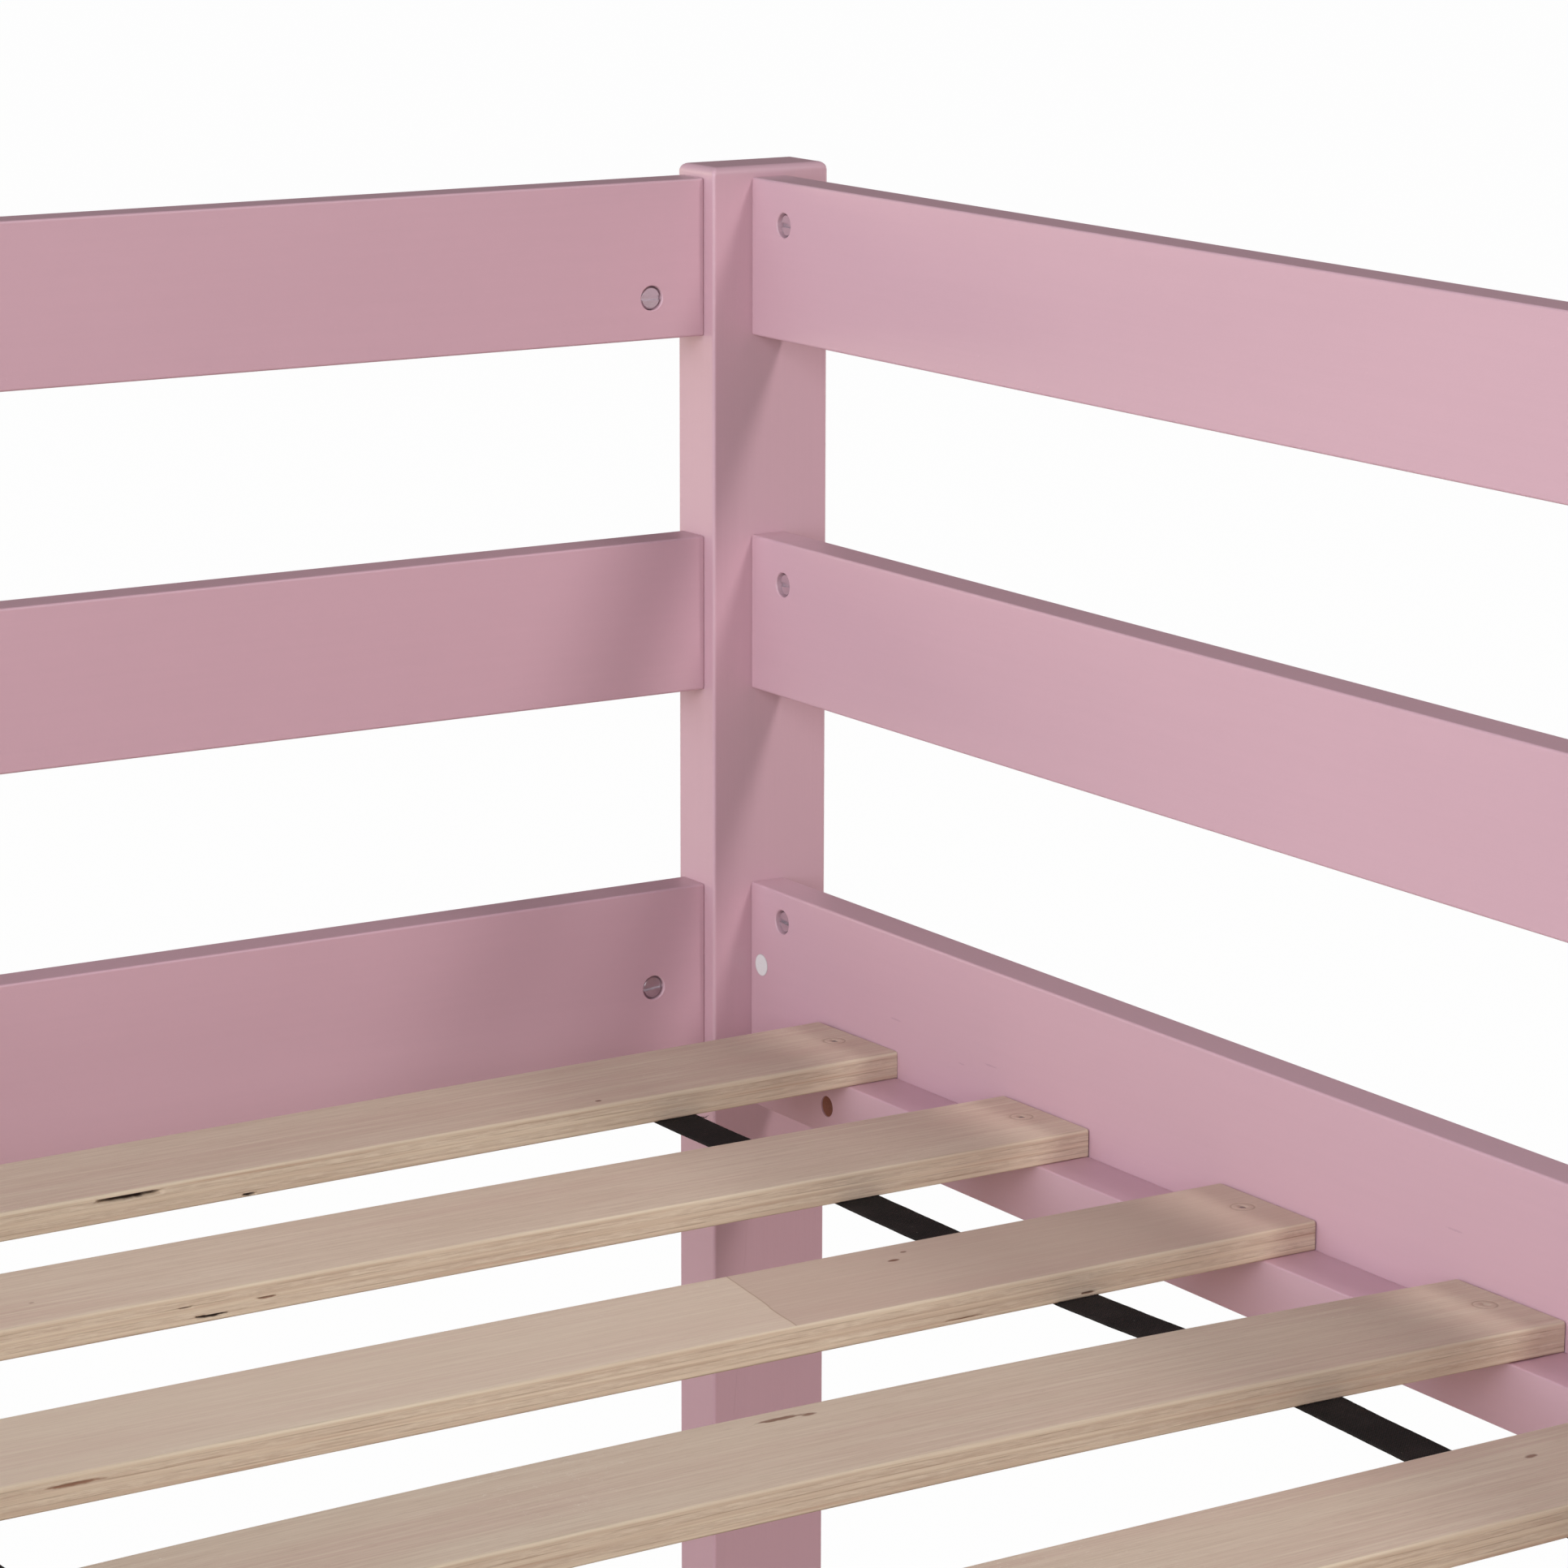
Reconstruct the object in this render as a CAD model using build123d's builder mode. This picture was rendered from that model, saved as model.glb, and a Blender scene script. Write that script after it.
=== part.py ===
from build123d import *
import math
import os

# Toddler bed, a bolted post-and-rail frame with a slatted deck.
# Row frame: X along the bed (head at -X), Y across it (back at +Y), Z up, origin on the floor
# under the middle. Millimetres.

os.makedirs("parts", exist_ok=True)

# ---- driving dimensions ----------------------------------------------------------------------
clear_length = 1420.0        # between the head and foot posts
clear_width = 705.0          # between the inner faces of the side rails
overall_height = 700.0

post_x = 30.0
post_y = 60.0
post_corner_radius = 1.5     # vertical edges
post_top_radius = 3.6        # rim of the top

rail_thickness = 18.0
rail_edge_radius = 1.1
rail_end_ease = 0.5          # chamfer round a rail's ends, a fine groove against the post
upper_height = 70.0          # top and middle rails
bottom_height = 90.0         # bottom rails, which carry the deck
rail_pitch = 160.0
rail_drop = 5.0              # post top down to the top rail
side_recess = 20.0           # side rail's inner face behind the post's inner end
end_recess = 8.0             # end rail's inner face behind the post's inner face

ledger_size = 26.0
ledger_end_gap = 30.0
ledger_edge_radius = 0.8

slat_width = 62.0
slat_thickness = 12.0
slat_length = 703.0
slat_edge_radius = 1.3
slat_first = 57.5            # head post to the first slat, at the back end of the slat
slat_pitch = 148.0
# How far each slat was laid from its even place, towards the foot.
slat_shifts = (1.2, -3.0, 1.2, 1.3, -0.4, 0.8, -1.2, 0.6, 0.0)
# How far each slat turns from square, in degrees, as it was laid: front end towards the foot.
slat_skews = (1.85, 0.7, 0.55, 0.9, 1.1, 0.4, -0.3, 0.5, 0.2)

webbing_width = 20.0
webbing_thickness = 1.4
webbing_inset = 115.0        # side rail's inner face to the middle of the webbing
webbing_tail = 12.0          # past the outer edge of the last slat at each end

# ---- hardware --------------------------------------------------------------------------------
bolt_radius = 3.0
bolt_hole_radius = 3.3
bolt_head_radius = 7.5
bolt_head_height = 2.4
bolt_socket_width = 4.0
bolt_socket_depth = 1.8
thread_clearance = 0.05      # a thread's radius inside the nut or sleeve it fills
bolt_seat_radius = 8.0
bolt_seat_depth = 3.0
side_bolt_length = 65.0
end_bolt_length = 95.0
bolt_end_room = 3.0          # bore left past a bolt's tip
# Post or rail top down to each bolt: side rails, bottom side rails, end rails, bottom end rails.
side_bolt_drop = 19.0
side_bottom_bolt_drop = 13.5
end_bolt_drop = 51.5
end_bottom_bolt_drop = 45.0

nut_radius = 5.0
nut_hole_radius = 5.45
nut_slot_width = 2.0
nut_slot_depth = 1.5
nut_chamfer = 0.6
nut_hole_ease = 0.4          # softened mouth of a nut's bore
side_nut_recess = 1.5
end_nut_recess = 1.0
nut_hole_skin = 1.0          # wood left behind a nut's bore
side_nut_setback = 26.0      # rail end to nut
end_nut_setback = 27.0
# Small turns of the nuts' screwdriver slots from level, in degrees, taken in order.
slot_tilts = (0.0, 5.0, -4.0, 2.0, -6.0, 3.0, -2.0)

dowel_radius = 4.0
dowel_hole_radius = 4.1
dowel_length = 38.0
dowel_chamfer = 0.8
dowel_end_room = 1.0
side_dowel_drops = (38.0, 40.0, 30.0)   # top, middle and bottom side rails
end_dowel_inset = 18.0       # from the top or bottom edge of an end rail
side_dowel_rise = 15.0       # bottom edge of a bottom side rail to its lower dowel

ledger_screw_first = 104.0   # head post to the first ledger screw
ledger_screw_depth = 12.0    # counterbore
ledger_bore_radius = 4.65
screw_head_radius = 4.0
screw_head_height = 2.0
cross_length = 4.4           # recess in a screw's head
cross_width = 0.9
cross_depth = 1.2
ledger_screw_radius = 2.0
ledger_screw_length = 28.0
ledger_screw_room = 0.5      # bore left past a screw's tip

nail_inset = 12.0            # slat end to nail
nail_radius = 0.9
nail_head_radius = 1.6
nail_head_height = 1.2
nail_set = 0.5               # head below the slat's face
nail_length = 32.0

staple_crown = 10.0
staple_wire = 0.8
staple_leg = 8.0

glide_radius = 11.0
glide_height = 3.0
glide_chamfer = 0.8
glide_pin_radius = 1.5
glide_pin_length = 14.0
glide_pin_room = 1.0
glide_spacing = 28.0

label_radius = 5.0
label_thickness = 0.2
label_setback = 9.0
label_drop = 37.0

# ---- worked-out places -----------------------------------------------------------------------
half_length = clear_length / 2
side_face = clear_width / 2                      # inner face of a side rail
side_middle = side_face + rail_thickness / 2
post_face = side_face - side_recess              # end of the end rails, on the post
post_back = post_face + post_y
end_face = half_length + end_recess              # inner face of an end rail
end_middle = end_face + rail_thickness / 2
post_outer = half_length + post_x

rail_top = overall_height - rail_drop
top_z = rail_top - upper_height
middle_z = top_z - rail_pitch
bottom_top = rail_top - 2 * rail_pitch
bottom_z = bottom_top - bottom_height
slat_z = bottom_z + ledger_size
webbing_y = side_face - webbing_inset
ledger_face = side_face - ledger_size

# Heights of what joins each rail to its posts.
middle_top = rail_top - rail_pitch
side_bolt_heights = (
    rail_top - side_bolt_drop,
    middle_top - side_bolt_drop,
    bottom_top - side_bottom_bolt_drop,
)
end_bolt_heights = (rail_top - end_bolt_drop, bottom_top - end_bottom_bolt_drop)
side_dowel_heights = (
    rail_top - side_dowel_drops[0],
    middle_top - side_dowel_drops[1],
    bottom_top - side_dowel_drops[2],
    bottom_z + side_dowel_rise,
)
end_dowel_heights = (
    rail_top - end_dowel_inset,
    middle_top - end_dowel_inset,
    middle_z + end_dowel_inset,
    bottom_top - end_dowel_inset,
    bottom_z + end_dowel_inset,
)
ledger_screw_span = half_length - ledger_screw_first
ledger_screw_z = bottom_z + ledger_size / 2
glide_places = (-glide_spacing / 2, glide_spacing / 2)

corners = {
    "head_back": (-1, 1),
    "head_front": (-1, -1),
    "foot_back": (1, 1),
    "foot_front": (1, -1),
}
slat_count = len(slat_skews)
nail_reach = slat_length / 2 - nail_inset
nail_seat = slat_thickness - nail_set - nail_head_height


def save(piece, name):
    """Label a finished piece and write its file."""
    piece.part.label = name
    export_step(piece.part, f"parts/{name}.step")


def facing(x, y, z, direction, along=None):
    """A plane at a point, with its normal along direction."""
    return Plane(origin=(x, y, z), x_dir=along, z_dir=direction)


def slat_plane(index, height):
    """A level plane at the middle of a slat, with its Y axis along the slat."""
    skew = math.radians(slat_skews[index])
    laid_x = slat_first + index * slat_pitch + slat_shifts[index]
    back_x = -half_length + laid_x + slat_width / 2
    middle_x = back_x + math.sin(skew) * slat_length / 2
    return Plane(origin=(middle_x, 0, height), x_dir=(math.cos(skew), math.sin(skew), 0), z_dir=(0, 0, 1))


def side_post_heights(side):
    """Heights of the bolts and dowels of a post's side rails; the front is open above the deck."""
    if side < 0:
        return side_bolt_heights[2:], side_dowel_heights[2:]
    return side_bolt_heights, side_dowel_heights


# ---- frame -----------------------------------------------------------------------------------
def bolt_bores(joint, outward, nut, inward, heights, reach):
    """Bolt bores into one end of a rail at joint, and nut bores into its inner face at nut."""
    for z in heights:
        with Locations(facing(*joint, z, outward)):
            Hole(bolt_hole_radius, depth=reach)
        with Locations(facing(*nut, z, inward)):
            CounterSinkHole(nut_hole_radius, nut_hole_radius + nut_hole_ease,
                            rail_thickness - nut_hole_skin, counter_sink_angle=90)


def dowel_bores(joint, outward, heights):
    """Dowel bores in one end of a rail."""
    for z in heights:
        with Locations(facing(*joint, z, outward)):
            Hole(dowel_hole_radius, depth=dowel_length / 2 + dowel_end_room)


def make_post(name, end, side):
    """A corner post; end is -1 at the head and 1 at the foot, side is 1 at the back."""
    bolts, dowels = side_post_heights(side)
    x = end * (half_length + post_x / 2)
    y = side * (post_face + post_y / 2)
    with BuildPart() as post:
        with BuildSketch(Plane.XY.offset(glide_height)):
            with Locations((x, y)):
                Rectangle(post_x, post_y)
        extrude(amount=overall_height - glide_height)
        fillet(post.faces().sort_by(Axis.Z)[-1].edges(), post_top_radius)
        fillet(post.edges().filter_by(Axis.Z), post_corner_radius)
        for z in bolts:
            with Locations(facing(end * post_outer, side * side_middle, z, (end, 0, 0))):
                CounterBoreHole(bolt_hole_radius, bolt_seat_radius, bolt_seat_depth)
        for z in end_bolt_heights:
            with Locations(facing(end * end_middle, side * post_back, z, (0, side, 0))):
                CounterBoreHole(bolt_hole_radius, bolt_seat_radius, bolt_seat_depth)
        dowel_bores((end * half_length, side * side_middle), (-end, 0, 0), dowels)
        dowel_bores((end * end_middle, side * post_face), (0, -side, 0), end_dowel_heights)
        with Locations(facing(x, y, glide_height, (0, 0, -1))):
            with Locations(*[(0, spot) for spot in glide_places]):
                Hole(glide_pin_radius, depth=glide_pin_length)
    save(post, f"post_{name}")


def make_side_rail(name, side, z, height, bolts, dowels, ledger=False):
    """A rail along the bed, between two posts."""
    y = side * side_middle
    reach = side_bolt_length - post_x + bolt_seat_depth + bolt_end_room
    with BuildPart() as rail:
        with BuildSketch(Plane.YZ.offset(-half_length)):
            with Locations((y, z + height / 2)):
                RectangleRounded(rail_thickness, height, rail_edge_radius)
        extrude(amount=clear_length)
        chamfer(rail.faces().filter_by(Axis.X).edges(), rail_end_ease)
        for end in (-1, 1):
            joint = (end * half_length, y)
            nut = (end * (half_length - side_nut_setback), side * side_face)
            bolt_bores(joint, (end, 0, 0), nut, (0, -side, 0), bolts, reach)
            dowel_bores(joint, (end, 0, 0), dowels)
        if ledger:
            for x in (-ledger_screw_span, 0, ledger_screw_span):
                with Locations(facing(x, side * side_face, ledger_screw_z, (0, -side, 0))):
                    Hole(ledger_screw_radius, depth=ledger_screw_length - ledger_size + ledger_screw_depth)
    save(rail, name)


def make_end_rail(name, end, z, height, bolts, dowels):
    """A rail across the bed, between two posts."""
    reach = end_bolt_length - post_y + bolt_seat_depth + bolt_end_room
    x = end * end_middle
    with BuildPart() as rail:
        with BuildSketch(Plane.XZ.offset(-post_face)):
            with Locations((x, z + height / 2)):
                RectangleRounded(rail_thickness, height, rail_edge_radius)
        extrude(amount=2 * post_face)
        chamfer(rail.faces().filter_by(Axis.Y).edges(), rail_end_ease)
        for side in (-1, 1):
            joint = (x, side * post_face)
            nut = (end * end_face, side * (post_face - end_nut_setback))
            bolt_bores(joint, (0, side, 0), nut, (-end, 0, 0), bolts, reach)
            dowel_bores(joint, (0, side, 0), dowels)
    save(rail, name)


def make_ledger(name, side):
    """The batten on the inside of a side rail that carries the slats."""
    with BuildPart() as ledger:
        with BuildSketch(Plane.YZ.offset(-half_length + ledger_end_gap)):
            with Locations((side * (side_face - ledger_size / 2), bottom_z + ledger_size / 2)):
                RectangleRounded(ledger_size, ledger_size, ledger_edge_radius)
        extrude(amount=clear_length - 2 * ledger_end_gap)
        for x in (-ledger_screw_span, 0, ledger_screw_span):
            with Locations(facing(x, side * ledger_face, ledger_screw_z, (0, -side, 0))):
                CounterBoreHole(ledger_screw_radius, ledger_bore_radius, ledger_screw_depth)
        for index in range(slat_count):
            with Locations(slat_plane(index, slat_z)):
                with Locations((0, side * nail_reach)):
                    Hole(nail_radius, depth=nail_length - nail_seat)
    save(ledger, name)


# ---- deck ------------------------------------------------------------------------------------
def make_slat(index):
    """A plywood slat, eased along its long edges, with a nail hole near each end."""
    with BuildPart() as slat:
        with BuildSketch(slat_plane(index, slat_z)):
            Rectangle(slat_width, slat_length)
        extrude(amount=slat_thickness)
        fillet(slat.edges().filter_by(lambda edge: edge.length > slat_length - 1), slat_edge_radius)
        with Locations(slat_plane(index, slat_z + slat_thickness)):
            with Locations((0, nail_reach), (0, -nail_reach)):
                CounterBoreHole(nail_radius, nail_head_radius, nail_set + nail_head_height)
        for x, y in staple_leg_places(index):
            with BuildSketch(Plane.XY.offset(slat_z)):
                with Locations((x, y)):
                    Rectangle(staple_wire, staple_wire)
            extrude(amount=staple_leg - webbing_thickness, mode=Mode.SUBTRACT)
    save(slat, f"slat_{index + 1}")


def staple_x(index, side):
    """Where a slat's middle crosses the webbing."""
    plane = slat_plane(index, slat_z)
    return plane.origin.X - side * webbing_y * math.tan(math.radians(slat_skews[index]))


def staple_leg_places(index):
    """The legs of the two staples under a slat."""
    half = (staple_crown - staple_wire) / 2
    places = []
    for side in (-1, 1):
        for step in (-half, half):
            places.append((staple_x(index, side), side * webbing_y + step))
    return places


def make_webbing(name, side):
    """The flat tape stapled under the slats, which keeps their pitch."""
    first = staple_x(0, side) - slat_width / 2 - webbing_tail
    last = staple_x(slat_count - 1, side) + slat_width / 2 + webbing_tail
    with BuildPart() as webbing:
        with BuildSketch(Plane.XY.offset(slat_z - webbing_thickness)):
            with Locations(((first + last) / 2, side * webbing_y)):
                Rectangle(last - first, webbing_width)
        extrude(amount=webbing_thickness)
        with BuildSketch(Plane.XY.offset(slat_z - webbing_thickness)):
            for index in range(slat_count):
                for x, y in staple_leg_places(index):
                    if y * side > 0:
                        with Locations((x, y)):
                            Rectangle(staple_wire, staple_wire)
        extrude(amount=webbing_thickness, mode=Mode.SUBTRACT)
    save(webbing, name)


# ---- fasteners -------------------------------------------------------------------------------
def make_bolts(name, seats, length):
    """Flat-headed connector bolts; each seat is a plane under a head, facing out."""
    tops = [seat.offset(bolt_head_height) for seat in seats]
    with BuildPart() as bolts:
        with BuildSketch(*seats):
            Circle(bolt_head_radius)
        extrude(amount=bolt_head_height)
        with BuildSketch(*seats):
            Circle(bolt_radius - thread_clearance)
        extrude(amount=-length)
        with BuildSketch(*tops):
            RegularPolygon(bolt_socket_width / 2, 6, major_radius=False)
        extrude(amount=-bolt_socket_depth, mode=Mode.SUBTRACT)
    save(bolts, name)


def make_nuts(name, faces, length):
    """Barrel nuts; each face is a plane on the slotted end, its X axis along the slot and bolt."""
    with BuildPart() as nuts:
        with BuildSketch(*faces):
            Circle(nut_radius)
        extrude(amount=-length)
        chamfer(nuts.edges().filter_by(GeomType.CIRCLE), nut_chamfer)
        for number, face in enumerate(faces):
            tilt = slot_tilts[number % len(slot_tilts)]
            with BuildSketch(face):
                Rectangle(2.2 * nut_radius, nut_slot_width, rotation=tilt)
            extrude(amount=-nut_slot_depth, mode=Mode.SUBTRACT)
            with Locations(Plane(origin=face.offset(-length / 2).origin, z_dir=face.x_dir)):
                Cylinder(bolt_radius, 2.4 * nut_radius, mode=Mode.SUBTRACT)
    save(nuts, name)


def make_dowels(name, middles):
    """Fluted pegs, plain here, each centred on its joint plane."""
    with BuildPart() as dowels:
        with Locations(*middles):
            Cylinder(dowel_radius, dowel_length)
        chamfer(dowels.edges().filter_by(GeomType.CIRCLE), dowel_chamfer)
    save(dowels, name)


def make_frame_hardware():
    """Bolts, barrel nuts and dowels of all the post and rail joints."""
    side_seats = []
    side_faces = []
    side_dowels = []
    end_seats = []
    end_faces = []
    end_dowels = []
    for end, side in corners.values():
        bolts, dowels = side_post_heights(side)
        for z in bolts:
            seat_x = end * (post_outer - bolt_seat_depth)
            side_seats.append(facing(seat_x, side * side_middle, z, (end, 0, 0)))
            nut_x = end * (half_length - side_nut_setback)
            nut_y = side * (side_face + side_nut_recess)
            side_faces.append(facing(nut_x, nut_y, z, (0, -side, 0), (1, 0, 0)))
        for z in dowels:
            side_dowels.append(facing(end * half_length, side * side_middle, z, (1, 0, 0)))
        for z in end_bolt_heights:
            seat_y = side * (post_back - bolt_seat_depth)
            end_seats.append(facing(end * end_middle, seat_y, z, (0, side, 0)))
            nut_y = side * (post_face - end_nut_setback)
            end_faces.append(facing(end * (end_face + end_nut_recess), nut_y, z, (-end, 0, 0), (0, 1, 0)))
        for z in end_dowel_heights:
            end_dowels.append(facing(end * end_middle, side * post_face, z, (0, 1, 0)))
    make_bolts("side_rail_bolts", side_seats, side_bolt_length)
    make_bolts("end_rail_bolts", end_seats, end_bolt_length)
    make_nuts("side_rail_barrel_nuts", side_faces, rail_thickness - 2 * side_nut_recess)
    make_nuts("end_rail_barrel_nuts", end_faces, rail_thickness - 2 * end_nut_recess)
    make_dowels("side_rail_dowels", side_dowels)
    make_dowels("end_rail_dowels", end_dowels)


def make_ledger_screws():
    """Pan-head screws down in the ledgers' counterbores."""
    seats = []
    for side in (-1, 1):
        for x in (-ledger_screw_span, 0, ledger_screw_span):
            y = side * (ledger_face + ledger_screw_depth)
            seats.append(facing(x, y, ledger_screw_z, (0, -side, 0)))
    with BuildPart() as screws:
        with BuildSketch(*seats):
            Circle(screw_head_radius)
        extrude(amount=screw_head_height)
        with BuildSketch(*seats):
            Circle(ledger_screw_radius)
        extrude(amount=ledger_screw_room - ledger_screw_length)
        with BuildSketch(*[seat.offset(screw_head_height) for seat in seats]):
            Rectangle(cross_length, cross_width)
            Rectangle(cross_width, cross_length)
        extrude(amount=-cross_depth, mode=Mode.SUBTRACT)
    save(screws, "ledger_screws")


def make_slat_nails():
    """Small-headed nails, set just below the face, that hold the slat ends down."""
    seats = []
    for index in range(slat_count):
        plane = slat_plane(index, slat_z + nail_seat)
        for side in (-1, 1):
            spot = plane.from_local_coords((0, side * nail_reach, 0))
            seats.append(Plane(origin=spot, z_dir=(0, 0, 1)))
    with BuildPart() as nails:
        with BuildSketch(*seats):
            Circle(nail_head_radius)
        extrude(amount=nail_head_height)
        with BuildSketch(*seats):
            Circle(nail_radius)
        extrude(amount=-nail_length)
    save(nails, "slat_nails")


def make_staples():
    """Wire staples through the webbing into the slats."""
    with BuildPart() as staples:
        for index in range(slat_count):
            for side in (-1, 1):
                x = staple_x(index, side)
                base = slat_z - webbing_thickness - staple_wire
                with BuildSketch(Plane.XY.offset(base)):
                    with Locations((x, side * webbing_y)):
                        Rectangle(staple_wire, staple_crown)
                extrude(amount=staple_wire)
            for x, y in staple_leg_places(index):
                with BuildSketch(Plane.XY.offset(base + staple_wire)):
                    with Locations((x, y)):
                        Rectangle(staple_wire, staple_wire)
                extrude(amount=staple_leg)
    save(staples, "webbing_staples")


def make_glides():
    """Nail-on glides, two under each post."""
    spots = []
    for end, side in corners.values():
        for step in glide_places:
            spots.append((end * (half_length + post_x / 2), side * (post_face + post_y / 2) + step))
    with BuildPart() as glides:
        with BuildSketch():
            with Locations(*spots):
                Circle(glide_radius)
        extrude(amount=glide_height)
        chamfer(glides.edges().group_by(Axis.Z)[0], glide_chamfer)
        with BuildSketch(Plane.XY.offset(glide_height)):
            with Locations(*spots):
                Circle(glide_pin_radius)
        extrude(amount=glide_pin_length - glide_pin_room)
    save(glides, "foot_glides")


def make_label():
    """A small round assembly sticker, blank, inside the back bottom rail."""
    x = -half_length + label_setback
    with BuildPart() as part_label:
        with BuildSketch(facing(x, side_face, bottom_top - label_drop, (0, -1, 0))):
            Circle(label_radius)
        extrude(amount=label_thickness)
    save(part_label, "part_label")


for corner_name, (corner_end, corner_side) in corners.items():
    make_post(corner_name, corner_end, corner_side)

for end_name, end_sign in (("head", -1), ("foot", 1)):
    make_end_rail(f"{end_name}_rail_top", end_sign, top_z, upper_height,
                  end_bolt_heights[:1], end_dowel_heights[:1])
    make_end_rail(f"{end_name}_rail_middle", end_sign, middle_z, upper_height,
                  (), end_dowel_heights[1:3])
    make_end_rail(f"{end_name}_rail_bottom", end_sign, bottom_z, bottom_height,
                  end_bolt_heights[1:], end_dowel_heights[3:])

make_side_rail("back_rail_top", 1, top_z, upper_height,
               side_bolt_heights[:1], side_dowel_heights[:1])
make_side_rail("back_rail_middle", 1, middle_z, upper_height,
               side_bolt_heights[1:2], side_dowel_heights[1:2])
make_side_rail("back_rail_bottom", 1, bottom_z, bottom_height,
               side_bolt_heights[2:], side_dowel_heights[2:], ledger=True)
make_side_rail("front_rail_bottom", -1, bottom_z, bottom_height,
               side_bolt_heights[2:], side_dowel_heights[2:], ledger=True)

make_ledger("ledger_back", 1)
make_ledger("ledger_front", -1)
for slat_index in range(slat_count):
    make_slat(slat_index)
make_webbing("webbing_back", 1)
make_webbing("webbing_front", -1)

make_frame_hardware()
make_ledger_screws()
make_slat_nails()
make_staples()
make_glides()
make_label()
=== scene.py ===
"""Looks of the toddler bed: satin paint on the frame, plywood slats, woven webbing, zinc fittings.

Metres, in the row frame: X along the bed with the head at -X, the back at +Y, Z up from the floor.
"""

import math

import bpy
from mathutils import Matrix, Vector, noise


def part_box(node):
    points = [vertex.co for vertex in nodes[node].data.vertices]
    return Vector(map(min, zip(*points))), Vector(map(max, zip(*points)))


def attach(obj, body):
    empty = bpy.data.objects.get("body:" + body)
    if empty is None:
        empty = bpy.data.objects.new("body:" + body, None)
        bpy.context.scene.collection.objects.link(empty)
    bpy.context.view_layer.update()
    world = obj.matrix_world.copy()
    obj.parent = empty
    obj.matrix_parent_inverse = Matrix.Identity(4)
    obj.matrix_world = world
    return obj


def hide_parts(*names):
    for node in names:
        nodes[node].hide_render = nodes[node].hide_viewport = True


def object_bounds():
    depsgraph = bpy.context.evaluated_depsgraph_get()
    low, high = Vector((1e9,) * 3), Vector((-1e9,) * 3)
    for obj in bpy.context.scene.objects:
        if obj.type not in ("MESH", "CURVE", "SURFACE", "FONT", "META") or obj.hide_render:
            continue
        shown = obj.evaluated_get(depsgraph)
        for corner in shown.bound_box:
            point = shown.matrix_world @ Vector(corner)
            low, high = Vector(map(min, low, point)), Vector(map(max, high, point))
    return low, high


MM = 0.001


def rgb(red, green, blue):
    return (red, green, blue, 1.0)


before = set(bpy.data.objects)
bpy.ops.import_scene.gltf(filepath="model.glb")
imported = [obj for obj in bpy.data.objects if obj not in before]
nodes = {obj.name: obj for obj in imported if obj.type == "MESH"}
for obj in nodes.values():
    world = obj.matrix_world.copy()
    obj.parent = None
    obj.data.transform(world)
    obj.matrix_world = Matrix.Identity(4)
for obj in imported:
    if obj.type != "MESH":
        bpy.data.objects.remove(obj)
cad_low, cad_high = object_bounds()

# ---- camera ----------------------------------------------------------------------------------
CAMERA_PLACE = Vector((1.2637, -0.8883, 0.9316))
CAMERA_TURN = math.radians(32.52)      # from -X towards +Y
CAMERA_DIP = math.radians(12.363)
CAMERA_ROLL = math.radians(0.144)
CAMERA_LENS = 120.99
SENSOR = 36.0

# ---- light -----------------------------------------------------------------------------------
AMBIENT = rgb(0.070, 0.061, 0.050)
FLOOR_BOUNCE = rgb(0.64, 0.55, 0.47)
FLOOR_SHOWN = 0.985            # how much of the floor's look is its own even white
FLOOR_SHADE = 0.30             # less of it under the bed, where a soft shadow lies
LIGHT_AIM = Vector((-0.710, 0.340, 0.450))     # the corner that the lights point at
# Softboxes: direction from the corner, distance, width, height, power and colour.
SOFTBOXES = {
    "key": ((0.731, 0.239, 0.640), 4.0, 0.6, 0.6, 52.0, (1.0, 0.99, 0.97)),
    "front_wall": ((0.12, -0.96, 0.30), 3.6, 4.6, 2.8, 106.0, (0.92, 1.01, 1.06)),
    "front_corner": ((0.70, -0.66, 0.24), 4.2, 2.6, 2.8, 58.0, (0.96, 1.00, 1.05)),
    "head_fill": ((-0.93, -0.36, 0.10), 4.5, 2.6, 1.6, 41.0, (1.18, 1.05, 0.78)),
    "back_fill": ((0.0, 1.0, 0.04), 4.5, 3.0, 1.6, 75.0, (1.0, 1.0, 1.0)),
    "overhead": ((0.10, -0.10, 0.99), 3.5, 2.0, 2.0, 5.0, (0.85, 0.95, 1.20)),
}

# ---- slats -----------------------------------------------------------------------------------
SLAT_TAG = 2.0                 # how far apart the slats lie in the grain's own coordinates
END_BAND = 3.4 * MM            # what counts as a CAD slat's end, more than its skew takes up
SLAT_TOP_RADIUS = 1.3 * MM
SLAT_BOTTOM_RADIUS = 0.7 * MM
PLIES = 5
STATION_STEP = 4 * MM          # between the rings of points along a slat
FACE_STEP = 6 * MM             # between the points across its top
UNDER_STEP = 9 * MM            # and across its underside
EDGE_STEP = 0.55 * MM          # and up its foot-side edge, which has the gaps
FAR_EDGE_STEP = 0.9 * MM       # and up its head-side edge
FINE_STEP = 0.7 * MM           # both ways round a nail
VOID_STEP = 0.8 * MM           # along a gap in the plies
LEAST_STEP = 0.35 * MM
NAIL_ZONE = 6.6 * MM           # half the width of the finer grid round a nail
NAIL_REACH = 1.75 * MM
NAIL_DENT = 0.62 * MM
RING_RADIUS = 4.75 * MM
RING_WIDTH = 0.5 * MM
RING_DENT = 0.26 * MM
SLAT_SEED = 7.3                # how far apart the slats lie in the wear's noise
NAIL_SINK = 0.10 * MM          # the shallow dish inside the ring
PLY_ROUGHNESS = 0.10 * MM      # of an edge, most on the plies cut across their grain
GLUE_GROOVE = 0.12 * MM
SAW_DRIFT = 0.10 * MM          # slow wander of an edge along the slat
SANDING_DRIFT = 0.10 * MM      # and of the top
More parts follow.
